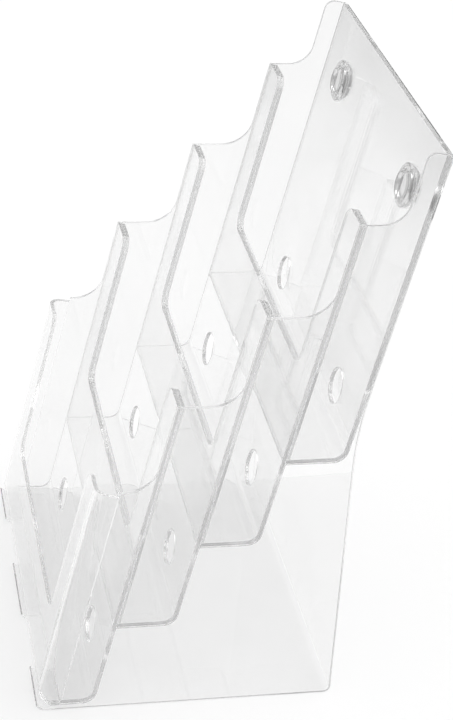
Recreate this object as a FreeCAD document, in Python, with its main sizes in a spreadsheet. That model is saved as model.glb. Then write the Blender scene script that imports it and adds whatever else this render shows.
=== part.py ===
import FreeCAD, Part
import math
import os

import Sketcher
from FreeCAD import Placement, Rotation, Vector

# A stepped rack of four leaning pockets, made of clear sheet and held up by one bent stand.
# Millimetres. +Z is up, the pockets face -Y, and X runs across the width.
# The origin is the middle of the stand's footprint, on the surface that it stands on.

POCKETS = 4

SIZES = {
    "width": (236.0, "over the two side panels"),
    "side_sheet": (2.5, "thickness of a side panel"),
    "tray_sheet": (2.5, "thickness of a tray's floor and back"),
    "liner_sheet": (2.0, "thickness of a pocket liner"),
    "stand_sheet": (1.0, "thickness of the stand"),
    "bond_line": (0.1, "cement film between two pieces"),
    "lean": (11.0, "degrees that the pockets lean back"),
    "pocket_pitch": (35.0, "front of one pocket to front of the next, square to the sheets"),
    "step_rise": (56.0, "climb from one pocket's floor to the next"),
    "wall_rise": (153.0, "height of a pocket's side over its own floor"),
    "back_rise": (194.0, "height of the top pocket's back over its own floor"),
    "lip_height": (51.5, "height of the low front lip, along the lean"),
    "post_width": (28.0, "width of the post left each side of the front cutout"),
    "post_radius": (8.0, "rounding at the top of a post"),
    "lip_radius": (9.0, "rounding where a post meets the lip"),
    "bend_radius": (7.0, "inside radius of a tray's bend"),
    "front_radius": (9.0, "outside radius of the bottom pocket's front edges"),
    "front_return": (14.0, "how far the bottom pocket's front wraps back"),
    "shoulder_radius": (20.0, "hollow radius where a side climbs to the next pocket"),
    "wing_width": (13.0, "side panel left beside the top of the back"),
    "wing_radius": (6.0, "rounding at the top of that wing"),
    "wing_shoulder": (15.0, "hollow radius at the foot of that wing"),
    "hole_width": (22.0, "diameter of each round hole in a back"),
    "hole_spacing": (142.5, "between the two lower holes of a back"),
    "hole_height": (25.0, "lower holes over the tray's heel, along the lean"),
    "plug_spacing": (153.0, "between the two snap plugs"),
    "plug_height": (160.0, "snap plugs over the top tray's heel, along the lean"),
    "leg_spread": (4.0, "how far the foot of the stand's leg is behind the leg's top"),
    "seat_gap": (2.5, "between the stand's base and the bottom pocket over it"),
    "heel_radius": (3.0, "inside radius between the stand's base and leg"),
    "tab_rise": (3.6, "height of the stand's upturned tabs"),
    "tab_slope": (54.0, "degrees that the tabs slope up at their tips"),
    "toe_radius": (7.0, "inside radius between a tab and the base"),
    "tab_notch": (15.0, "depth of the notches between the tabs"),
    "middle_tab": (56.0, "width of the middle tab"),
    "notch_width": (52.0, "width of each notch"),
    "knee_rise": (20.0, "stand's gentle upper bend over the top pocket's floor"),
    "knee_radius": (250.0, "radius of that bend"),
    "flange_radius": (3.0, "rounding of the stand's top corners"),
    "head_width": (26.0, "diameter of a snap plug's head"),
    "head_thick": (2.0, "thickness of a snap plug's head"),
    "head_bevel": (0.8, "bevel round that head"),
    "plug_play": (0.2, "between a snap plug and its hole, all round"),
    "plug_wall": (2.6, "wall of a snap plug's sleeve"),
    "barb_reach": (1.2, "how far a snap plug's barb stands out"),
    "barb_length": (2.6, "length of the barb behind the stand"),
    "barb_bevel": (0.6, "how far the barb narrows inside the sleeve's own width at its tip"),
    "slit_width": (2.0, "width of the slits between the plug's fingers"),
    "pin_play": (0.15, "between the plug and the pin in it, all round"),
    "pin_head_width": (19.0, "diameter of the pin's head"),
    "pin_head_thick": (1.6, "thickness of the pin's head"),
    "pin_bevel": (0.6, "bevel round that head"),
    "pin_lead": (1.2, "bevel at the pin's tip"),
    "slot_width": (2.2, "width of the slot across the pin's head"),
    "slot_depth": (1.0, "depth of that slot"),
}

doc = FreeCAD.newDocument("stepped_rack")
sheet = doc.addObject("Spreadsheet::Sheet", "sizes")
for row, (alias, (value, meaning)) in enumerate(SIZES.items(), start=1):
    sheet.set(f"A{row}", meaning)
    sheet.set(f"B{row}", str(value))
    sheet.setAlias(f"B{row}", alias)
doc.recompute()


class Size:
    """A length that carries its number and the sheet formula that gives the same number."""

    def __init__(self, number, formula):
        self.number = float(number)
        self.formula = formula

    def combine(self, other, sign, result):
        return Size(result, f"({self.formula} {sign} {other.formula})")

    def __add__(self, other):
        other = as_size(other)
        return self.combine(other, "+", self.number + other.number)

    def __sub__(self, other):
        other = as_size(other)
        return self.combine(other, "-", self.number - other.number)

    def __mul__(self, other):
        other = as_size(other)
        return self.combine(other, "*", self.number * other.number)

    def __truediv__(self, other):
        other = as_size(other)
        return self.combine(other, "/", self.number / other.number)

    def __neg__(self):
        return Size(-self.number, f"(-1 * {self.formula})")


def as_size(value):
    return value if isinstance(value, Size) else Size(value, f"({float(value)})")


def size(alias):
    return Size(SIZES[alias][0], f"sizes.{alias}")


ZERO = as_size(0.0)
LEAN = size("lean")
SIN = Size(math.sin(math.radians(LEAN.number)), "sin(sizes.lean)")
COS = Size(math.cos(math.radians(LEAN.number)), "cos(sizes.lean)")
TAN = Size(math.tan(math.radians(LEAN.number)), "tan(sizes.lean)")

WIDTH = size("width")
BOND = size("bond_line")
PITCH = size("pocket_pitch")
TRAY = size("tray_sheet")
STAND = size("stand_sheet")
INNER_WIDTH = WIDTH - size("side_sheet") * 2 - BOND * 2
CUT_WIDTH = WIDTH - size("post_width") * 2
WALL_TOP = size("wall_rise") / COS
STEP_BACK = PITCH / COS + size("step_rise") * TAN
STEP_ALONG = PITCH * TAN + size("step_rise") / COS

# From the front of the bottom pocket to the back of the top one, at its floor.
STAIR_DEPTH = STEP_BACK * (POCKETS - 1) + PITCH / COS
FLANGE_OUT = (BOND + STAND) / COS

# The footprint, from the tips of the stand's tabs to its leg.
BASE_DEPTH = STAIR_DEPTH + size("knee_rise") * TAN + FLANGE_OUT + size("leg_spread")

# The bottom pocket's front corner, where its outer front face would meet the floor's underside.
FLOOR_1 = STAND + size("seat_gap")
FRONT_1 = -BASE_DEPTH / 2

PAST = as_size(20.0)  # how far a cut runs past the piece that it cuts
LEAST_CUT = 1.0  # cubic millimetres that any cut must take away
NEAR = 0.02  # how close an edge must be to the place where it is looked for


def pocket_corner(number):
    """Outer front-bottom corner of a pocket, counted from 1 at the bottom: (y, z)."""
    climb = number - 1
    return FRONT_1 + STEP_BACK * climb, FLOOR_1 + size("step_rise") * climb


# ---------------------------------------------------------------- drawing helpers


def new_body(label):
    body = doc.addObject("PartDesign::Body", label)
    body.Label = label
    return body


def new_sketch(body, name, plane):
    sketch = body.newObject("Sketcher::SketchObject", name)
    origin = [item for item in body.Origin.OriginFeatures if item.Role == plane][0]
    sketch.AttachmentSupport = [(origin, "")]
    sketch.MapMode = "FlatFace"
    return sketch


def pin_point(sketch, line, end, point):
    """Hold one end of a line at a place that the sheet gives."""
    for kind, length in zip(("DistanceX", "DistanceY"), point):
        number = sketch.addConstraint(Sketcher.Constraint(kind, -1, 1, line, end, length.number))
        sketch.setExpression(f"Constraints[{number}]", length.formula)


def draw_outline(sketch, points):
    """A closed outline of straight lines through the points."""
    places = [Vector(across.number, up.number, 0) for across, up in points]
    first = sketch.GeometryCount
    for start, stop in zip(places, places[1:] + places[:1]):
        sketch.addGeometry(Part.LineSegment(start, stop))
    count = len(points)
    for index, point in enumerate(points):
        following = first + (index + 1) % count
        sketch.addConstraint(Sketcher.Constraint("Coincident", first + index, 2, following, 1))
        pin_point(sketch, first + index, 1, point)


def draw_rectangle(sketch, left, right, low, high):
    draw_outline(sketch, [(left, low), (right, low), (right, high), (left, high)])


def draw_circle(sketch, across, up, diameter):
    centre = Vector(across.number, up.number, 0)
    circle = sketch.addGeometry(Part.Circle(centre, Vector(0, 0, 1), diameter.number / 2))
    pin_point(sketch, circle, 3, (across, up))
    number = sketch.addConstraint(Sketcher.Constraint("Diameter", circle, diameter.number))
    sketch.setExpression(f"Constraints[{number}]", diameter.formula)


def pad(body, sketch, length):
    feature = body.newObject("PartDesign::Pad", sketch.Name + "_pad")
    feature.Profile = sketch
    feature.SideType = "Symmetric"
    feature.setExpression("Length", length.formula)
    doc.recompute()
    return feature


def cut_through(body, sketch):
    """Cut the sketch both ways through the body, and make sure that it took something away."""
    before = body.Shape.Volume
    feature = body.newObject("PartDesign::Pocket", sketch.Name + "_cut")
    feature.Profile = sketch
    feature.Type = "ThroughAll"
    feature.SideType = "Symmetric"
    doc.recompute()
    if not body.Shape.Volume < before - LEAST_CUT:
        raise RuntimeError(f"{feature.Label} cut nothing from {body.Label}")
    return feature


def edges_through(shape, direction, places):
    """Names of the straight edges along a direction that pass through any of the places."""
    names = []
    for index, edge in enumerate(shape.Edges, start=1):
        if not isinstance(edge.Curve, Part.Line):
            continue
        if abs(abs(edge.Curve.Direction.dot(direction)) - 1) > 1e-6:
            continue
        start = edge.Vertexes[0].Point
        for place in places:
            offset = place - start
            aside = offset - direction * offset.dot(direction)
            if aside.Length < NEAR:
                names.append(f"Edge{index}")
                break
    return names


def round_named(body, name, radius, names, count):
    """Fillet the named edges, of which there must be as many as the piece has."""
    if len(names) != count:
        raise RuntimeError(f"{body.Label} {name}: found {len(names)} edges, not {count}")
    base = body.Tip
    feature = body.newObject("PartDesign::Fillet", f"{body.Label}_{name}")
    feature.Base = (base, names)
    feature.setExpression("Radius", radius.formula)
    doc.recompute()


def round_edges(body, name, radius, direction, places, count):
    round_named(body, name, radius, edges_through(body.Tip.Shape, direction, places), count)


def at_section(points):
    return [Vector(0, along.number, up.number) for along, up in points]


ACROSS = Vector(1, 0, 0)
UPWARD = Vector(0, 0, 1)


def lean_back(body, number):
    """Set a body drawn square to its sheet at a pocket's corner, leaning back."""
    along, up = pocket_corner(number)
    body.Placement = Placement(Vector(0, along.number, up.number), Rotation(Vector(-1, 0, 0), LEAN.number))
    body.setExpression("Placement.Base.y", along.formula)
    body.setExpression("Placement.Base.z", up.formula)
    body.setExpression("Placement.Rotation.Angle", LEAN.formula)


# ---------------------------------------------------------------- the front cutout


def cut_front(body, lip_top, wall_top, tag):
    """The wide cutout that leaves a low lip and a post each side, with its corners rounded."""
    half = CUT_WIDTH / 2
    sketch = new_sketch(body, f"{body.Label}_{tag}", "XZ_Plane")
    draw_rectangle(sketch, -half, half, lip_top, wall_top + PAST)
    cut_through(body, sketch)
    corners = cutout_edges(body.Tip.Shape, half, lip_top)
    round_named(body, f"{tag}_lip_corners", size("lip_radius"), corners, 2)
    corners = cutout_edges(body.Tip.Shape, half, wall_top)
    round_named(body, f"{tag}_post_corners", size("post_radius"), corners, 2)


def cutout_edges(shape, half, up):
    """Edges through the sheet at both sides of the cutout at one height."""
    names = []
    for index, edge in enumerate(shape.Edges, start=1):
        middle = edge.valueAt((edge.FirstParameter + edge.LastParameter) / 2)
        ends = [vertex.Point for vertex in edge.Vertexes]
        if len(ends) < 2 or abs(ends[0].x - ends[1].x) > NEAR or abs(ends[0].y - ends[1].y) < 0.5:
            continue
        if abs(abs(middle.x) - half.number) < NEAR and abs(middle.z - up.number) < NEAR:
            names.append(f"Edge{index}")
    return names


# ---------------------------------------------------------------- trays


def make_tray(number):
    """A floor bent up into a back, whose top is the front of the pocket behind it."""
    body = new_body(f"pocket_tray_{number}")
    is_top = number == POCKETS
    front = size("front_return") + BOND if number == 1 else BOND
    heel = PITCH * TAN
    floor_thick = TRAY / COS
    top = heel + size("back_rise") / COS if is_top else STEP_ALONG + WALL_TOP
    face = PITCH - TRAY
    inside_heel = (face, face * TAN + floor_thick)
    outside_heel = (PITCH, heel)
    section = [
        (front, front * TAN),
        outside_heel,
        (PITCH, top),
        (face, top),
        inside_heel,
        (front, front * TAN + floor_thick),
    ]
    sketch = new_sketch(body, f"tray_{number}_section", "YZ_Plane")
    draw_outline(sketch, section)
    pad(body, sketch, INNER_WIDTH)
    inside, outside = at_section([inside_heel, outside_heel])
    bend = size("bend_radius")
    round_edges(body, "inside_bend", bend, ACROSS, [inside], 1)
    round_edges(body, "outside_bend", bend + TRAY, ACROSS, [outside], 1)
    if not is_top:
        cut_front(body, STEP_ALONG + size("lip_height"), top, "front")
    drill_back(body, "lower_holes", size("hole_spacing"), heel + size("hole_height"))
    if is_top:
        drill_back(body, "plug_holes", size("plug_spacing"), heel + size("plug_height"))
    lean_back(body, number)
    return body


def drill_back(body, name, spacing, height):
    sketch = new_sketch(body, f"{body.Label}_{name}", "XZ_Plane")
    for side in (-1, 1):
        draw_circle(sketch, spacing / 2 * side, height, size("hole_width"))
    cut_through(body, sketch)


# ---------------------------------------------------------------- pocket liners


def make_liner(number):
    """The upper pockets' own front, a flat sheet cemented behind the back of the tray below."""
    body = new_body(f"pocket_liner_{number}")
    thick = size("liner_sheet")
    foot = (thick + BOND) * TAN + TRAY / COS + BOND
    half = INNER_WIDTH / 2
    sketch = new_sketch(body, f"liner_{number}_face", "YZ_Plane")
    draw_rectangle(sketch, BOND, BOND + thick, foot, WALL_TOP)
    pad(body, sketch, half * 2)
    cut_front(body, size("lip_height"), WALL_TOP, "front")
    lean_back(body, number)
    return body


# ---------------------------------------------------------------- bottom pocket's front


def make_front():
    """The bottom pocket's front: a shell with round edges that wraps to the sides and the floor."""
    body = new_body("front_wall")
    half = WIDTH / 2
    deep = size("front_return")
    thick = TRAY
    radius = size("front_radius")

    def section(front, back, floor, top):
        return [(front, front * TAN + floor), (back, back * TAN + floor), (back, top), (front, top)]

    block = new_sketch(body, "front_block", "YZ_Plane")
    draw_outline(block, section(ZERO, deep, ZERO, WALL_TOP))
    pad(body, block, WIDTH)
    hollow = new_sketch(body, "front_hollow", "YZ_Plane")
    draw_outline(hollow, section(thick, deep + PAST, thick / COS, WALL_TOP + PAST))
    cut = body.newObject("PartDesign::Pocket", "front_hollow_cut")
    cut.Profile = hollow
    cut.Type = "Length"
    cut.SideType = "Symmetric"
    cut.setExpression("Length", (WIDTH - size("side_sheet") * 2).formula)
    doc.recompute()

    inner_half = half - size("side_sheet")
    inner_low = Vector(0, thick.number, (thick * TAN + thick / COS).number)
    inner_sides = [Vector(side * inner_half.number, thick.number, 0) for side in (-1, 1)]
    names = edges_through(body.Tip.Shape, ACROSS, [inner_low])
    names += edges_through(body.Tip.Shape, UPWARD, inner_sides)
    round_named(body, "inner_edges", radius - thick, names, 3)

    front_low = Vector(0, 0, 0)
    sides = [Vector(side * half.number, 0, WALL_TOP.number / 2) for side in (-1, 1)]
    names = edges_through(body.Tip.Shape, ACROSS, [front_low])
    names += edges_through(body.Tip.Shape, UPWARD, sides)
    round_named(body, "outer_edges", radius, names, 3)
    cut_front(body, size("lip_height"), WALL_TOP, "front")
    lean_back(body, 1)
    return body


# ---------------------------------------------------------------- side panels


def side_outline():
    """The stepped outline of a side, and its corners by what they are."""
    rise = size("wall_rise")
    points = []
    heels = []
    hollows = []
    start_y, start_z = pocket_corner(1)
    first = start_y + (size("front_return") + BOND) / COS
    points.append((first, start_z))
    for number in range(1, POCKETS + 1):
        along, up = pocket_corner(number)
        heel = (along + PITCH / COS, up)
        points.append(heel)
        heels.append(heel)
        if number < POCKETS:
            points.append((heel[0] + size("step_rise") * TAN, up + size("step_rise")))
    back_rise = size("back_rise")
    heel_y, heel_z = heels[-1]
    crown = (heel_y + back_rise * TAN, heel_z + back_rise)
    wing = size("wing_width")
    wing_top = (crown[0] - wing * COS, crown[1] + wing * SIN)
    top_y, top_z = pocket_corner(POCKETS)
    shelf = top_z + rise
    wing_foot = (wing_top[0] - (wing_top[1] - shelf) * TAN, shelf)
    points += [crown, wing_top, wing_foot]
    for number in range(POCKETS, 0, -1):
        along, up = pocket_corner(number)
        ahead = along - TRAY / COS if number > 1 else first
        points.append((ahead + rise * TAN, up + rise))
        if number > 1:
            below = up + rise - size("step_rise")
            hollow = (ahead + (below - up) * TAN, below)
            points.append(hollow)
            hollows.append(hollow)
    return points, heels, wing_top, wing_foot, hollows


def make_side(label, side):
    body = new_body(label)
    points, heels, wing_top, wing_foot, hollows = side_outline()
    sketch = new_sketch(body, f"{label}_outline", "YZ_Plane")
    draw_outline(sketch, points)
    pad(body, sketch, size("side_sheet"))
    heel_radius = size("bend_radius") + TRAY
    round_edges(body, "heels", heel_radius, ACROSS, at_section(heels), POCKETS)
    round_edges(body, "shoulders", size("shoulder_radius"), ACROSS, at_section(hollows), POCKETS - 1)
    round_edges(body, "wing_shoulder", size("wing_shoulder"), ACROSS, at_section([wing_foot]), 1)
    round_edges(body, "wing_top", size("wing_radius"), ACROSS, at_section([wing_top]), 1)
    offset = (WIDTH - size("side_sheet")) / 2 * side
    body.Placement = Placement(Vector(offset.number, 0, 0), Rotation())
    body.setExpression("Placement.Base.x", offset.formula)
    return body


# ---------------------------------------------------------------- stand


def inner_line(places, thick):
    """Where the inner line of a bent sheet turns, for the drawing to start from."""
    normals = []
    for start, stop in zip(places, places[1:]):
        run = (stop - start).normalize()
        normals.append(Vector(-run.y, run.x, 0))
    corners = [places[0] + normals[0] * thick]
    for place, before, after in zip(places[1:], normals, normals[1:]):
        corners.append(place + (before + after) * (thick / (1 + before.dot(after))))
    corners.append(places[-1] + normals[-1] * thick)
    return corners


def draw_bent_sheet(sketch, path, thick):
    """A bent sheet: its outer line is held by the sheet's sizes, its inner one runs beside it."""
    places = [Vector(along.number, up.number, 0) for along, up in path]
    corners = inner_line(places, thick.number)
    runs = range(len(path) - 1)
    outer = [sketch.addGeometry(Part.LineSegment(places[i], places[i + 1])) for i in runs]
    inner = [sketch.addGeometry(Part.LineSegment(corners[i], corners[i + 1])) for i in runs]
    for i in runs:
        pin_point(sketch, outer[i], 1, path[i])
        sketch.addConstraint(Sketcher.Constraint("Parallel", outer[i], inner[i]))
        number = sketch.addConstraint(Sketcher.Constraint("Distance", inner[i], 1, outer[i], thick.number))
        sketch.setExpression(f"Constraints[{number}]", thick.formula)
        if i:
            sketch.addConstraint(Sketcher.Constraint("Coincident", outer[i - 1], 2, outer[i], 1))
            sketch.addConstraint(Sketcher.Constraint("Coincident", inner[i - 1], 2, inner[i], 1))
    pin_point(sketch, outer[-1], 2, path[-1])
    for place, run, end in ((0, 0, 1), (-1, -1, 2)):
        cap = sketch.addGeometry(Part.LineSegment(places[place], corners[place]))
        sketch.addConstraint(Sketcher.Constraint("Coincident", cap, 1, outer[run], end))
        sketch.addConstraint(Sketcher.Constraint("Coincident", cap, 2, inner[run], end))
        sketch.addConstraint(Sketcher.Constraint("Perpendicular", cap, outer[run]))
    return inner


def make_stand():
    """Tabs, base, leg and back flange, bent from one sheet."""
    body = new_body("stand")
    half_depth = BASE_DEPTH / 2
    top_y, top_z = pocket_corner(POCKETS)
    tray_back = top_y + PITCH / COS
    rise = size("back_rise") - (BOND + STAND) * SIN
    knee = size("knee_rise")
    slope = size("tab_slope")
    slope_tan = Size(math.tan(math.radians(slope.number)), f"tan({slope.formula})")
    path = [
        (-half_depth, size("tab_rise")),
        (size("tab_rise") / slope_tan - half_depth, ZERO),
        (half_depth, ZERO),
        (tray_back + knee * TAN + FLANGE_OUT, top_z + knee),
        (tray_back + rise * TAN + FLANGE_OUT, top_z + rise),
    ]
    sketch = new_sketch(body, "stand_section", "YZ_Plane")
    inner = draw_bent_sheet(sketch, path, STAND)
    doc.recompute()
    pad(body, sketch, WIDTH)
    outer_corners = at_section(path[1:4])
    inner_corners = [sketch.getPoint(line, 1) for line in inner[1:]]
    inner_corners = [Vector(0, point.x, point.y) for point in inner_corners]
    bends = [
        ("toe", size("toe_radius")),
        ("heel", size("heel_radius")),
        ("knee", size("knee_radius")),
    ]
    for (name, inside), outer_at, inner_at in zip(bends, outer_corners, inner_corners):
        round_edges(body, f"{name}_inside", inside, ACROSS, [inner_at], 1)
        round_edges(body, f"{name}_outside", inside + STAND, ACROSS, [outer_at], 1)

    notch_from = size("middle_tab") / 2
    notch_to = notch_from + size("notch_width")
    notch_back = size("tab_notch") - half_depth
    notches = new_sketch(body, "tab_notches", "XY_Plane")
    for side in (-1, 1):
        edges = [notch_from * side, notch_to * side]
        edges.sort(key=lambda edge: edge.number)
        draw_rectangle(notches, edges[0], edges[1], -half_depth - PAST, notch_back)
    cut_through(body, notches)

    round_stand_corners(body)
    drill_stand(body)
    return body


def round_stand_corners(body):
    """Round the top corners of the flange."""
    top = body.Shape.BoundBox.ZMax
    names = []
    for index, edge in enumerate(body.Tip.Shape.Edges, start=1):
        middle = edge.valueAt((edge.FirstParameter + edge.LastParameter) / 2)
        if edge.Length > STAND.number + NEAR or middle.z < top - STAND.number:
            continue
        if abs(abs(middle.x) - WIDTH.number / 2) < NEAR:
            names.append(f"Edge{index}")
    round_named(body, "flange_corners", size("flange_radius"), names, 2)


def drill_stand(body):
    """Holes for the snap plugs, square to the flange."""
    axis_y, axis_z = plug_point(ZERO)
    tools = new_sketch(body, "flange_holes", "XZ_Plane")
    tools.MapMode = "Deactivated"
    tools.Placement = Placement(Vector(0, axis_y.number, axis_z.number), plug_turn())
    tools.setExpression("Placement.Base.y", axis_y.formula)
    tools.setExpression("Placement.Base.z", axis_z.formula)
    tools.setExpression("Placement.Rotation.Angle", "90 - sizes.lean")
    for side in (-1, 1):
        draw_circle(tools, size("plug_spacing") / 2 * side, ZERO, size("hole_width"))
    before = body.Shape.Volume
    feature = body.newObject("PartDesign::Pocket", "flange_holes_cut")
    feature.Profile = tools
    feature.Type = "Length"
    feature.SideType = "Symmetric"
    feature.setExpression("Length", PAST.formula)
    doc.recompute()
    if not body.Shape.Volume < before - LEAST_CUT:
        raise RuntimeError("the flange holes cut nothing")


# ---------------------------------------------------------------- snap plugs


def plug_turn():
    """Turns a drawing's X and Y to run across and up the leaning back."""
    return Rotation(Vector(1, 0, 0), 90.0 - LEAN.number)


def plug_point(ahead):
    """A place on the plugs' axis, measured back from the rear face of the top tray: (y, z)."""
    along, up = pocket_corner(POCKETS)
    climb = size("plug_height")
    y = along + PITCH / COS + climb * SIN + ahead * COS
    z = up + climb * COS - ahead * SIN
    return y, z


def revolve(body, sketch):
    feature = body.newObject("PartDesign::Revolution", sketch.Name + "_turned")
    feature.Profile = sketch
    feature.ReferenceAxis = (sketch, ["H_Axis"])
    feature.Angle = 360.0
    doc.recompute()
    return feature


def place_plug_piece(body, side):
    """The piece is turned about its own Y axis, with Y = 0 on the top tray's rear face."""
    across = size("plug_spacing") / 2 * side
    y, z = plug_point(ZERO)
    turn = Rotation(Vector(-1, 0, 0), LEAN.number)
    body.Placement = Placement(Vector(across.number, y.number, z.number), turn)
    body.setExpression("Placement.Base.x", across.formula)
    body.setExpression("Placement.Base.y", y.formula)
    body.setExpression("Placement.Base.z", z.formula)
    body.setExpression("Placement.Rotation.Angle", LEAN.formula)


def make_plug(label, side):
    """A headed sleeve pushed in from the front, with slit fingers that catch behind the stand."""
    body = new_body(label)
    shank = size("hole_width") / 2 - size("plug_play")
    bore = shank - size("plug_wall")
    head = size("head_width") / 2
    barb = shank + size("barb_reach")
    face = -TRAY - BOND
    front = face - size("head_thick")
    back = BOND + STAND + BOND
    tip = back + size("barb_length")
    section = [
        (front, bore),
        (front, head - size("head_bevel")),
        (front + size("head_bevel"), head),
        (face, head),
        (face, shank),
        (back, shank),
        (back, barb),
        (tip, shank - size("barb_bevel")),
        (tip, bore),
    ]
    sketch = new_sketch(body, f"{label}_section", "YZ_Plane")
    draw_outline(sketch, section)
    revolve(body, sketch)
    slit = size("slit_width") / 2
    slits = new_sketch(body, f"{label}_slits", "YZ_Plane")
    draw_rectangle(slits, BOND, tip + PAST, -slit, slit)
    cut_through(body, slits)
    cross = new_sketch(body, f"{label}_cross_slits", "XY_Plane")
    draw_rectangle(cross, -slit, slit, BOND, tip + PAST)
    cut_through(body, cross)
    place_plug_piece(body, side)
    return body


def make_pin(label, side):
    """The pin that fills a plug and spreads its fingers, with a slot across its head."""
    body = new_body(label)
    shank = size("hole_width") / 2 - size("plug_play") - size("plug_wall") - size("pin_play")
    head = size("pin_head_width") / 2
    seat = -TRAY - BOND - size("head_thick") - BOND
    front = seat - size("pin_head_thick")
    back = BOND * 2 + STAND + size("barb_length")
    section = [
        (front, ZERO),
        (front, head - size("pin_bevel")),
        (front + size("pin_bevel"), head),
        (seat, head),
        (seat, shank),
        (back - size("pin_lead"), shank),
        (back, shank - size("pin_lead")),
        (back, ZERO),
    ]
    sketch = new_sketch(body, f"{label}_section", "YZ_Plane")
    draw_outline(sketch, section)
    revolve(body, sketch)
    slot = size("slot_width") / 2
    groove = new_sketch(body, f"{label}_slot", "XY_Plane")
    draw_rectangle(groove, -slot, slot, front - PAST, front + size("slot_depth"))
    cut_through(body, groove)
    place_plug_piece(body, side)
    return body


# ---------------------------------------------------------------- the rack


def main():
    bodies = [make_side("side_panel_left", -1), make_side("side_panel_right", 1)]
    bodies.append(make_front())
    bodies += [make_tray(number) for number in range(1, POCKETS + 1)]
    bodies += [make_liner(number) for number in range(2, POCKETS + 1)]
    bodies.append(make_stand())
    for name, side in (("left", -1), ("right", 1)):
        bodies.append(make_plug(f"snap_plug_{name}", side))
        bodies.append(make_pin(f"plug_pin_{name}", side))
    doc.recompute()

    for item in doc.Objects:
        if "Invalid" in item.State or "Error" in item.State:
            raise RuntimeError(f"{item.Label} failed: {item.State}")
    for body in bodies:
        if body.Shape.isNull() or not body.Shape.isValid() or len(body.Shape.Solids) != 1:
            raise RuntimeError(f"{body.Label} isn't one good solid")

    os.makedirs("parts", exist_ok=True)
    for body in bodies:
        body.Shape.exportStep(os.path.join("parts", f"{body.Label}.step"))
        box = body.Shape.BoundBox
        print(f"{body.Label:20s} {body.Shape.Volume / 1000:8.1f} cm3  "
              f"x {box.XMin:7.1f} {box.XMax:7.1f}  y {box.YMin:7.1f} {box.YMax:7.1f}  "
              f"z {box.ZMin:7.1f} {box.ZMax:7.1f}")


main()
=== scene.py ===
# %% [markdown]
# # A clear magazine rack with four stepped pockets
#
# The rack is made of polished clear sheet. Almost everything that the eye reads in
# it is light: bright surroundings seen through the faces, and darker surroundings
# caught in the cut edges and in the bends. So this lesson spends its effort on the
# surroundings and on the plastic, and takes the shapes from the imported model.

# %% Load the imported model
import math

import bpy
from mathutils import Euler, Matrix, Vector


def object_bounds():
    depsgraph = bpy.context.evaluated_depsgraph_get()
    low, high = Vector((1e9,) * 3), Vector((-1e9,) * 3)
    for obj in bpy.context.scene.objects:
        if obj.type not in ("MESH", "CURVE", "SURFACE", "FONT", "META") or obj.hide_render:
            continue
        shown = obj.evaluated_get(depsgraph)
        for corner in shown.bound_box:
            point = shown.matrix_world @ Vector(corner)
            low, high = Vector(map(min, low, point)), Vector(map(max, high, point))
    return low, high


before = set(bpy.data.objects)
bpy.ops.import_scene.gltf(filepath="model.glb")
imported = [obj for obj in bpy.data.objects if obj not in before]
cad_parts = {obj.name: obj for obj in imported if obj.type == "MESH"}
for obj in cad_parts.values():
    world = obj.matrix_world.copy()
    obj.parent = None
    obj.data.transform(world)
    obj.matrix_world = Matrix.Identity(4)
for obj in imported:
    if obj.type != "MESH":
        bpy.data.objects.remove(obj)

cad_low, cad_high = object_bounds()
print("nodes:", ", ".join(sorted(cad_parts)))
print("box in mm:", [round(v * 1000, 1) for v in (*cad_low, *cad_high)])

# %% [markdown]
# ## Camera
#
# The rack is seen from its right side, a little from the front and from above. A
# long lens keeps the pockets nearly the same size from near to far. The sensor
# width counts for the long side of the picture, which is its height here.

# %% Camera
LENS = 96.3
CAMERA_AT = (1.0159, -0.2099, 0.77653)
CAMERA_TURN = (59.911, -4.45, 79.002)
SENSOR = 36

camera_data = bpy.data.cameras.new("camera")
camera_data.lens = LENS
camera_data.sensor_width = SENSOR
camera = bpy.data.objects.new("camera", camera_data)
camera.location = CAMERA_AT
camera.rotation_euler = Euler([math.radians(a) for a in CAMERA_TURN], "XYZ")
bpy.context.collection.objects.link(camera)
bpy.context.scene.camera = camera
print("camera stands", round(camera.location.length, 2), "m from the rack's foot")

# %% [markdown]
# ## How far light is followed
#
# Light that reaches the camera has often passed ten sheets, and each sheet has two
# faces. Light that enters a cut edge runs along inside its sheet, from face to
# face, until it comes out at the far end. A path that is given up too early comes
# out black, so the paths are made long.

# %% Path lengths and plain colours
PATH_LENGTH = 160

cycles = bpy.context.scene.cycles
cycles.max_bounces = PATH_LENGTH
cycles.transmission_bounces = PATH_LENGTH
cycles.glossy_bounces = PATH_LENGTH
cycles.transparent_max_bounces = PATH_LENGTH
bpy.context.scene.view_settings.view_transform = "Standard"
print("light is followed through", PATH_LENGTH, "bounces")

# %% [markdown]
# ## Two helpers for nodes
#
# The room, the floor and every finish are made of shader nodes. Two short helpers
# keep the cells readable: one adds a node, the other fills in its inputs.

# %% Helpers for nodes
def add_node(tree, kind, at, **settings):
    """Add a node and set its properties."""
    node = tree.nodes.new(kind)
    node.location = at
    for name, value in settings.items():
        setattr(node, name, value)
    return node


def set_inputs(node, **values):
    """Set inputs by name, with _ for each space in the name."""
    for name, value in values.items():
        node.inputs[name.replace("_", " ")].default_value = value
    return node


# %% [markdown]
# ## Room
#
# Clear plastic on white is lit by the white itself. The floor is the bright field
# behind every face. The room above it is a little darker, so that edges and bends,
# which look up into the room, draw themselves as grey lines. A panorama of a
# studio could light the rack too, but a plain rise from grey to white does as well.

# %% Room
ROOM_HIGH = 0.85
ROOM_LOW = 0.45
ROOM_TOP = 0.9

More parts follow.
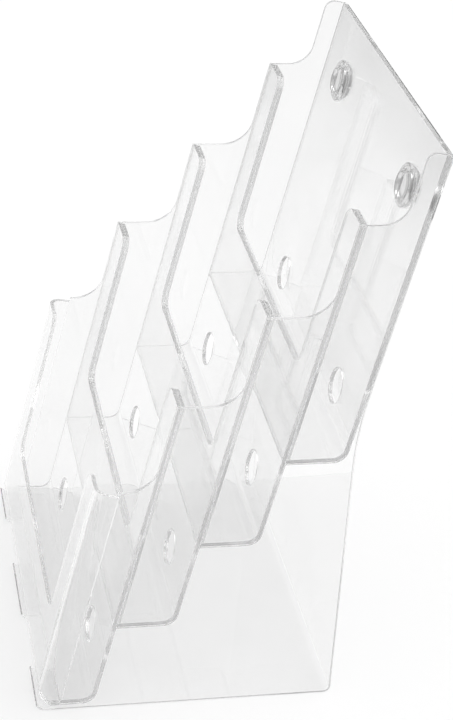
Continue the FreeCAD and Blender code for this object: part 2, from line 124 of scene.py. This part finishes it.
world = bpy.data.worlds.new("room")
world.use_nodes = True
bpy.context.scene.world = world
tree = world.node_tree
tree.nodes.clear()
direction = add_node(tree, "ShaderNodeTexCoord", (-800, 0))
split = add_node(tree, "ShaderNodeSeparateXYZ", (-600, 0))
height = add_node(tree, "ShaderNodeMapRange", (-400, 0))
set_inputs(height, From_Max=ROOM_TOP, To_Min=ROOM_LOW, To_Max=ROOM_HIGH)
background = add_node(tree, "ShaderNodeBackground", (-200, 0))
output = add_node(tree, "ShaderNodeOutputWorld", (0, 0))
tree.links.new(direction.outputs["Generated"], split.inputs["Vector"])
tree.links.new(split.outputs["Z"], height.inputs["Value"])
tree.links.new(height.outputs["Result"], background.inputs["Color"])
tree.links.new(background.outputs["Background"], output.inputs["Surface"])
print("room rises from", ROOM_LOW, "to", ROOM_HIGH)

# %% [markdown]
# ## Floor
#
# The floor is one flat face, so large that its end is never near. It lies a hair
# under the stand, so that the two faces don't fight for the same place.

# %% Floor
FLOOR_HALF = 20
FLOOR_DROP = 0.0003

floor_mesh = bpy.data.meshes.new("floor")
corners = [
    (x * FLOOR_HALF, y * FLOOR_HALF, cad_low.z - FLOOR_DROP)
    for x, y in ((-1, -1), (1, -1), (1, 1), (-1, 1))
]
floor_mesh.from_pydata(corners, [], [(0, 1, 2, 3)])
floor = bpy.data.objects.new("floor", floor_mesh)
bpy.context.collection.objects.link(floor)

# %% [markdown]
# ## Painted lit strip and painted shade around it
#
# A studio sweep is white only where it is lit. Past the lit strip it falls to a
# light grey, and that is what the faces mirror: the side panels mirror the floor in
# front of the rack, and the backs, seen at a low angle, mirror the floor beside the
# strip. On an even white floor the backs came out nearly as white as the floor.
# Here the lamp lights the floor evenly, and the strip and the grey past it are
# painted into the floor's colour: painted light on the strip, painted shade past it.

# %% Floor paint
STRIP_TURN = 11
STRIP_HALF = 0.36
STRIP_NEAR = 0.3
STRIP_FADE = 0.5
WHITE = 0.92
# Painted shade: the floor's grey past the painted lit strip.
PAINTED_SHADE_GREY = 0.5
FLOOR_ROUGH = 0.9

floor_paint = bpy.data.materials.new("floor_with_painted_lit_strip")
floor_paint.use_nodes = True
tree = floor_paint.node_tree
paint = tree.nodes["Principled BSDF"]
set_inputs(paint, Roughness=FLOOR_ROUGH, Specular_IOR_Level=0.0)
place = add_node(tree, "ShaderNodeTexCoord", (-1400, 0))
turn = add_node(tree, "ShaderNodeMapping", (-1200, 0))
set_inputs(turn, Rotation=(0, 0, math.radians(STRIP_TURN)))
split = add_node(tree, "ShaderNodeSeparateXYZ", (-1000, 0))
across = add_node(tree, "ShaderNodeMath", (-800, 150), operation="ABSOLUTE")
beside = add_node(tree, "ShaderNodeMapRange", (-600, 150), interpolation_type="SMOOTHSTEP")
set_inputs(beside, From_Min=STRIP_HALF, From_Max=STRIP_HALF + STRIP_FADE)
before = add_node(tree, "ShaderNodeMapRange", (-600, -150), interpolation_type="SMOOTHSTEP")
set_inputs(before, From_Min=STRIP_NEAR, From_Max=STRIP_NEAR + STRIP_FADE)
either = add_node(tree, "ShaderNodeMath", (-400, 0), operation="MAXIMUM")
tone = add_node(tree, "ShaderNodeMapRange", (-200, 0))
set_inputs(tone, To_Min=WHITE, To_Max=PAINTED_SHADE_GREY)
tree.links.new(place.outputs["Object"], turn.inputs["Vector"])
tree.links.new(turn.outputs["Vector"], split.inputs["Vector"])
tree.links.new(split.outputs["Y"], across.inputs[0])
tree.links.new(across.outputs[0], beside.inputs["Value"])
tree.links.new(split.outputs["X"], before.inputs["Value"])
tree.links.new(beside.outputs["Result"], either.inputs[0])
tree.links.new(before.outputs["Result"], either.inputs[1])
tree.links.new(either.outputs[0], tone.inputs["Value"])
tree.links.new(tone.outputs["Result"], paint.inputs["Base Color"])
floor_mesh.materials.append(floor_paint)
print("white strip", round(2 * STRIP_HALF * 1000), "mm wide before its fade")

# %% [markdown]
# ## Lamp
#
# One sun as wide as a big soft box, high at the back and to the left, gives the
# pale soft shadow in front of the rack. It could be an area lamp, but a sun lights
# the near and the far floor alike. It stays out of the direction in which the
# stand's base would mirror it into the camera.

# %% Lamp
SUN_POWER = 1.46
SUN_ANGLE = 50
SUN_TURN = (38, 0, 200)

sun_data = bpy.data.lights.new("soft_sky", "SUN")
sun_data.energy = SUN_POWER
sun_data.angle = math.radians(SUN_ANGLE)
sun = bpy.data.objects.new("soft_sky", sun_data)
sun.rotation_euler = Euler([math.radians(a) for a in SUN_TURN], "XYZ")
bpy.context.collection.objects.link(sun)
print("lamp", SUN_ANGLE, "degrees wide")

# %% [markdown]
# ## Softened corners
#
# No cut sheet has a knife edge: the corner between a face and a cut is flamed or
# scraped to a few tenths of a millimetre. That narrow strip turns through every
# direction between face and cut, so it catches the darker room and draws the thin
# outline by which clear plastic is seen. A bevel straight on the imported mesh, with
# hardened normals, looked ragged. Here a weld closes the seams, a dissolve keeps one
# face for each plane, and weighted normals replace the hardened ones. These were
# changed together, so which of them cleaned the outline isn't known. The front wall
# goes without: its long bends looked smoother so, which is a judgement by eye.

# %% Helper for softened corners
CORNER_WIDTH = 0.0003
CORNER_ANGLE = 40
CORNER_STEPS = 2
PLANE_ANGLE = 0.3
WELD_DISTANCE = 0.000002


def soften_corners(piece, width):
    """Weld the mesh, join its flat faces and bevel its sharp edges, in modifiers only."""
    weld = piece.modifiers.new("weld", "WELD")
    weld.merge_threshold = WELD_DISTANCE
    planes = piece.modifiers.new("planes", "DECIMATE")
    planes.decimate_type = "DISSOLVE"
    planes.angle_limit = math.radians(PLANE_ANGLE)
    bevel = piece.modifiers.new("corners", "BEVEL")
    bevel.width = width
    bevel.segments = CORNER_STEPS
    bevel.limit_method = "ANGLE"
    bevel.angle_limit = math.radians(CORNER_ANGLE)
    bevel.use_clamp_overlap = False
    normals = piece.modifiers.new("normals", "WEIGHTED_NORMAL")
    normals.keep_sharp = False


# %% [markdown]
# ## What varies over the plastic
#
# Three effects are shared by all the finishes, so each is a node group. The first
# finds the cut edges: a face belongs to one by the direction it looks in. The
# second is use: broad smears from hands and hair-fine scratches from paper sliding
# in and out. The third is the slight wave that a heated and bent sheet keeps.

# %% Helper for shader node groups
def new_group(name, inputs, outputs):
    """Start a group; returns it with its input and output nodes."""
    group = bpy.data.node_groups.new(name, "ShaderNodeTree")
    for label, kind, value in inputs:
        socket = group.interface.new_socket(label, in_out="INPUT", socket_type=kind)
        socket.default_value = value
    for label, kind in outputs:
        group.interface.new_socket(label, in_out="OUTPUT", socket_type=kind)
    enter = add_node(group, "NodeGroupInput", (-1000, 0))
    leave = add_node(group, "NodeGroupOutput", (600, 0))
    return group, enter, leave


# %% Cut edge group
cut_edge, enter, leave = new_group(
    "cut_edge",
    [
        ("Direction", "NodeSocketVector", (1, 0, 0)),
        ("Cut From", "NodeSocketFloat", 0.06),
        ("Face From", "NodeSocketFloat", 0.14),
    ],
    [("Mask", "NodeSocketFloat")],
)
facing = add_node(cut_edge, "ShaderNodeNewGeometry", (-1000, 300))
compare = add_node(cut_edge, "ShaderNodeVectorMath", (-700, 200), operation="DOT_PRODUCT")
size = add_node(cut_edge, "ShaderNodeMath", (-400, 200), operation="ABSOLUTE")
ramp = add_node(cut_edge, "ShaderNodeMapRange", (-100, 200), interpolation_type="SMOOTHSTEP")
set_inputs(ramp, To_Min=1.0, To_Max=0.0)
cut_edge.links.new(facing.outputs["True Normal"], compare.inputs[0])
cut_edge.links.new(enter.outputs["Direction"], compare.inputs[1])
cut_edge.links.new(compare.outputs["Value"], size.inputs[0])
cut_edge.links.new(size.outputs[0], ramp.inputs["Value"])
cut_edge.links.new(enter.outputs["Cut From"], ramp.inputs["From Min"])
cut_edge.links.new(enter.outputs["Face From"], ramp.inputs["From Max"])
cut_edge.links.new(ramp.outputs["Result"], leave.inputs["Mask"])

# %% Handling group
SMEAR_FROM, SMEAR_FULL = 0.42, 0.68
SCRATCH_FROM, SCRATCH_FULL = 0.7, 0.76
SCRATCH_TURN = (0.3, 0.2, 0.0)
SCRATCH_STRETCH = (1.0, 1.0, 0.06)

handling, enter, leave = new_group(
    "handling",
    [
        ("Polish", "NodeSocketFloat", 0.015),
        ("Smear", "NodeSocketFloat", 0.03),
        ("Scratch", "NodeSocketFloat", 0.12),
        ("Smear Size", "NodeSocketFloat", 18.0),
        ("Scratch Size", "NodeSocketFloat", 420.0),
    ],
    [("Roughness", "NodeSocketFloat"), ("Haze", "NodeSocketFloat")],
)
place = add_node(handling, "ShaderNodeTexCoord", (-1000, 300))
smear = add_node(handling, "ShaderNodeTexNoise", (-700, 300))
set_inputs(smear, Detail=2.0, Roughness=0.45)
stretch = add_node(handling, "ShaderNodeMapping", (-900, -200))
set_inputs(stretch, Rotation=SCRATCH_TURN, Scale=SCRATCH_STRETCH)
scratch = add_node(handling, "ShaderNodeTexNoise", (-700, -200))
set_inputs(scratch, Detail=1.0)
smear_mask = add_node(handling, "ShaderNodeMapRange", (-400, 300), interpolation_type="SMOOTHSTEP")
set_inputs(smear_mask, From_Min=SMEAR_FROM, From_Max=SMEAR_FULL)
scratch_mask = add_node(handling, "ShaderNodeMapRange", (-400, -200))
set_inputs(scratch_mask, From_Min=SCRATCH_FROM, From_Max=SCRATCH_FULL)
smeared = add_node(handling, "ShaderNodeMath", (-100, 200), operation="MULTIPLY_ADD")
scratched = add_node(handling, "ShaderNodeMath", (200, 0), operation="MULTIPLY_ADD")
handling.links.new(place.outputs["Object"], smear.inputs["Vector"])
handling.links.new(place.outputs["Object"], stretch.inputs["Vector"])
handling.links.new(stretch.outputs["Vector"], scratch.inputs["Vector"])
handling.links.new(enter.outputs["Smear Size"], smear.inputs["Scale"])
handling.links.new(enter.outputs["Scratch Size"], scratch.inputs["Scale"])
handling.links.new(smear.outputs["Fac"], smear_mask.inputs["Value"])
handling.links.new(scratch.outputs["Fac"], scratch_mask.inputs["Value"])
handling.links.new(smear_mask.outputs["Result"], smeared.inputs[0])
handling.links.new(enter.outputs["Smear"], smeared.inputs[1])
handling.links.new(enter.outputs["Polish"], smeared.inputs[2])
handling.links.new(scratch_mask.outputs["Result"], scratched.inputs[0])
handling.links.new(enter.outputs["Scratch"], scratched.inputs[1])
handling.links.new(smeared.outputs[0], scratched.inputs[2])
handling.links.new(scratched.outputs[0], leave.inputs["Roughness"])
handling.links.new(smear_mask.outputs["Result"], leave.inputs["Haze"])

# %% Wave group
wave, enter, leave = new_group(
    "wave",
    [
        ("Wave Size", "NodeSocketFloat", 11.0),
        ("Wave", "NodeSocketFloat", 1.0),
        ("Grain Size", "NodeSocketFloat", 900.0),
        ("Grain", "NodeSocketFloat", 0.05),
    ],
    [("Height", "NodeSocketFloat")],
)
place = add_node(wave, "ShaderNodeTexCoord", (-1000, 300))
broad = add_node(wave, "ShaderNodeTexNoise", (-700, 300))
set_inputs(broad, Detail=0.0)
fine = add_node(wave, "ShaderNodeTexNoise", (-700, -100))
set_inputs(fine, Detail=1.0)
broad_part = add_node(wave, "ShaderNodeMath", (-300, 200), operation="MULTIPLY")
height_sum = add_node(wave, "ShaderNodeMath", (100, 0), operation="MULTIPLY_ADD")
wave.links.new(place.outputs["Object"], broad.inputs["Vector"])
wave.links.new(place.outputs["Object"], fine.inputs["Vector"])
wave.links.new(enter.outputs["Wave Size"], broad.inputs["Scale"])
wave.links.new(enter.outputs["Grain Size"], fine.inputs["Scale"])
wave.links.new(broad.outputs["Fac"], broad_part.inputs[0])
wave.links.new(enter.outputs["Wave"], broad_part.inputs[1])
wave.links.new(fine.outputs["Fac"], height_sum.inputs[0])
wave.links.new(enter.outputs["Grain"], height_sum.inputs[1])
wave.links.new(broad_part.outputs[0], height_sum.inputs[2])
wave.links.new(height_sum.outputs[0], leave.inputs["Height"])

# %% [markdown]
# ## Clear plastic
#
# Polished acrylic bends light with an index of 1.49. Its slight grey shows where
# many sheets lie behind each other. A shadow ray stops at glass, so for shadow rays
# the plastic is a dimmed, straight window, and the lamp reaches the floor below. Rays
# that leave the floor pass straight on too, so that the light under the rack isn't
# counted twice. How far the window dims was chosen for a shadow as pale.

# %% Values that all the clear plastic shares
INDEX = 1.49
HAZE_TINT = 0.985
RIPPLE_DEPTH = 0.00005
SHADE = 0.97


# %% Helper for clear plastic
def grey(value):
    """An opaque grey."""
    return (value, value, value, 1)


def clear_plastic(name, edge, face_tint_and_painted_shade, painted_edge_light_shade, edge_rough, use, relief):
    """A clear finish; edge, use and relief are the inputs of the three groups."""
    material = bpy.data.materials.new(name)
    material.use_nodes = True
    tree = material.node_tree
    tree.nodes.clear()

    edge_mask = add_node(tree, "ShaderNodeGroup", (-900, 100), node_tree=cut_edge)
    set_inputs(edge_mask, **edge)
    marks = add_node(tree, "ShaderNodeGroup", (-900, -150), node_tree=handling)
    set_inputs(marks, **use)
    ripple = add_node(tree, "ShaderNodeGroup", (-900, -450), node_tree=wave)
    set_inputs(ripple, **relief)

    # The face tint is the sheet's own slight grey; on plugs and pins its deep grey is painted
    # shade.
    # A Mix node keeps its number inputs at 2 and 3, and its colour inputs at 6 and 7.
    haze = add_node(tree, "ShaderNodeMix", (-600, 300), data_type="RGBA")
    haze.inputs[6].default_value = grey(face_tint_and_painted_shade)
    haze.inputs[7].default_value = grey(face_tint_and_painted_shade * HAZE_TINT)
    # The cuts take their own tint, painted light and shade that sets how dark or light the cut
    # edges read.
    colour = add_node(tree, "ShaderNodeMix", (-400, 200), data_type="RGBA")
    colour.inputs[7].default_value = grey(painted_edge_light_shade)
    rough = add_node(tree, "ShaderNodeMix", (-400, -100), data_type="FLOAT")
    rough.inputs[3].default_value = edge_rough
    bump = add_node(tree, "ShaderNodeBump", (-400, -400))
    set_inputs(bump, Strength=1.0, Distance=RIPPLE_DEPTH)

    plastic = add_node(tree, "ShaderNodeBsdfPrincipled", (0, 0))
    set_inputs(plastic, IOR=INDEX, Transmission_Weight=1.0)
    through = add_node(tree, "ShaderNodeBsdfTransparent", (0, 200))
    set_inputs(through, Color=grey(SHADE))
    path = add_node(tree, "ShaderNodeLightPath", (-200, 500))
    for_lamps = add_node(tree, "ShaderNodeMixShader", (300, 0))
    for_floor = add_node(tree, "ShaderNodeMixShader", (500, 0))
    output = add_node(tree, "ShaderNodeOutputMaterial", (700, 0))

    tree.links.new(marks.outputs["Haze"], haze.inputs[0])
    tree.links.new(haze.outputs[2], colour.inputs[6])
    tree.links.new(edge_mask.outputs["Mask"], colour.inputs[0])
    tree.links.new(edge_mask.outputs["Mask"], rough.inputs[0])
    tree.links.new(marks.outputs["Roughness"], rough.inputs[2])
    tree.links.new(ripple.outputs["Height"], bump.inputs["Height"])
    tree.links.new(colour.outputs[2], plastic.inputs["Base Color"])
    tree.links.new(rough.outputs[0], plastic.inputs["Roughness"])
    tree.links.new(bump.outputs["Normal"], plastic.inputs["Normal"])
    tree.links.new(path.outputs["Is Shadow Ray"], for_lamps.inputs["Fac"])
    tree.links.new(plastic.outputs["BSDF"], for_lamps.inputs[1])
    tree.links.new(through.outputs["BSDF"], for_lamps.inputs[2])
    tree.links.new(path.outputs["Is Diffuse Ray"], for_floor.inputs["Fac"])
    tree.links.new(for_lamps.outputs["Shader"], for_floor.inputs[1])
    tree.links.new(through.outputs["BSDF"], for_floor.inputs[2])
    tree.links.new(for_floor.outputs["Shader"], output.inputs["Surface"])
    return material


# %% [markdown]
# ## Seven finishes
#
# The sheets differ in thickness, so in tint, and in which of their faces are cuts.
# On a side panel, every face that doesn't look along the rack's width is a cut. A
# tray's, a liner's and the stand's cuts are their two ends, which do look along the
# width. The front wall's look up and down the lean. The cuts' own tint is painted
# light and shade: darker than the faces on most pieces, lighter on the side panels.
# The plugs and pins are moulded and wavier, and count their rims as the side panels
# count their cuts. Their deep grey is painted shade.

# %% What marks a cut, and what use and heat leave
LEAN = math.radians(11)
ACROSS = (1, 0, 0)
UP_THE_LEAN = (0, math.sin(LEAN), math.cos(LEAN))

panel_cut = {"Direction": ACROSS, "Cut_From": 0.06, "Face_From": 0.14}
end_cut = {"Direction": ACROSS, "Cut_From": 0.97, "Face_From": 0.9}
front_cut = {"Direction": UP_THE_LEAN, "Cut_From": 0.97, "Face_From": 0.9}
sheet_use = {"Polish": 0.012, "Smear": 0.025, "Scratch": 0.08}
sheet_relief = {"Wave_Size": 11.0, "Wave": 1.0, "Grain": 0.01}
plug_use = {"Polish": 0.02, "Smear": 0.02, "Scratch": 0.05}
plug_relief = {"Wave_Size": 90.0, "Wave": 1.5, "Grain": 0.1}
pin_use = {"Polish": 0.06, "Smear": 0.04, "Scratch": 0.05}
pin_relief = {"Wave_Size": 120.0, "Wave": 1.5, "Grain": 0.1}

# %% Make the finishes
# Columns: finish name, what marks a cut, face tint (painted shade on plugs and pins), cut tint
# (painted light and shade), cut roughness, use, relief.
RECIPES = {
    "side_panel": ("clear_panel_sheet", panel_cut, 0.955, 1.0, 0.3, sheet_use, sheet_relief),
    "front_wall": ("clear_front_sheet", front_cut, 0.965, 0.9, 0.15, sheet_use, sheet_relief),
    "pocket_tray": ("clear_tray_sheet", end_cut, 0.965, 0.78, 0.3, sheet_use, sheet_relief),
    "pocket_liner": ("clear_liner_sheet", end_cut, 0.97, 0.85, 0.3, sheet_use, sheet_relief),
    "stand": ("clear_stand_sheet", end_cut, 0.985, 0.93, 0.3, sheet_use, sheet_relief),
    "snap_plug": ("clear_plug", panel_cut, 0.8, 0.78, 0.1, plug_use, plug_relief),
    "plug_pin": ("clear_pin", panel_cut, 0.8, 0.78, 0.1, pin_use, pin_relief),
}
finishes = {}
for kind, (name, edge, face_tint_and_painted_shade, painted_edge_light_shade, edge_rough, use, relief) in RECIPES.items():
    finishes[kind] = clear_plastic(name, edge, face_tint_and_painted_shade, painted_edge_light_shade, edge_rough, use, relief)
print(len(finishes), "finishes")

# %% [markdown]
# ## Put them on
#
# Every piece takes its finish by assigning to its material slots, and every piece
# but the front wall then gets its softened corners. The thin stand and the small
# plugs take narrower ones.

# %% Put them on
CORNERS = {"snap_plug": 0.0002, "plug_pin": 0.0002, "stand": 0.00025}

for name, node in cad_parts.items():
    kind = next(kind for kind in finishes if name.startswith(kind))
    for slot in node.material_slots:
        slot.material = finishes[kind]
    if kind != "front_wall":
        soften_corners(node, CORNERS.get(kind, CORNER_WIDTH))
    print(name, "->", finishes[kind].name)
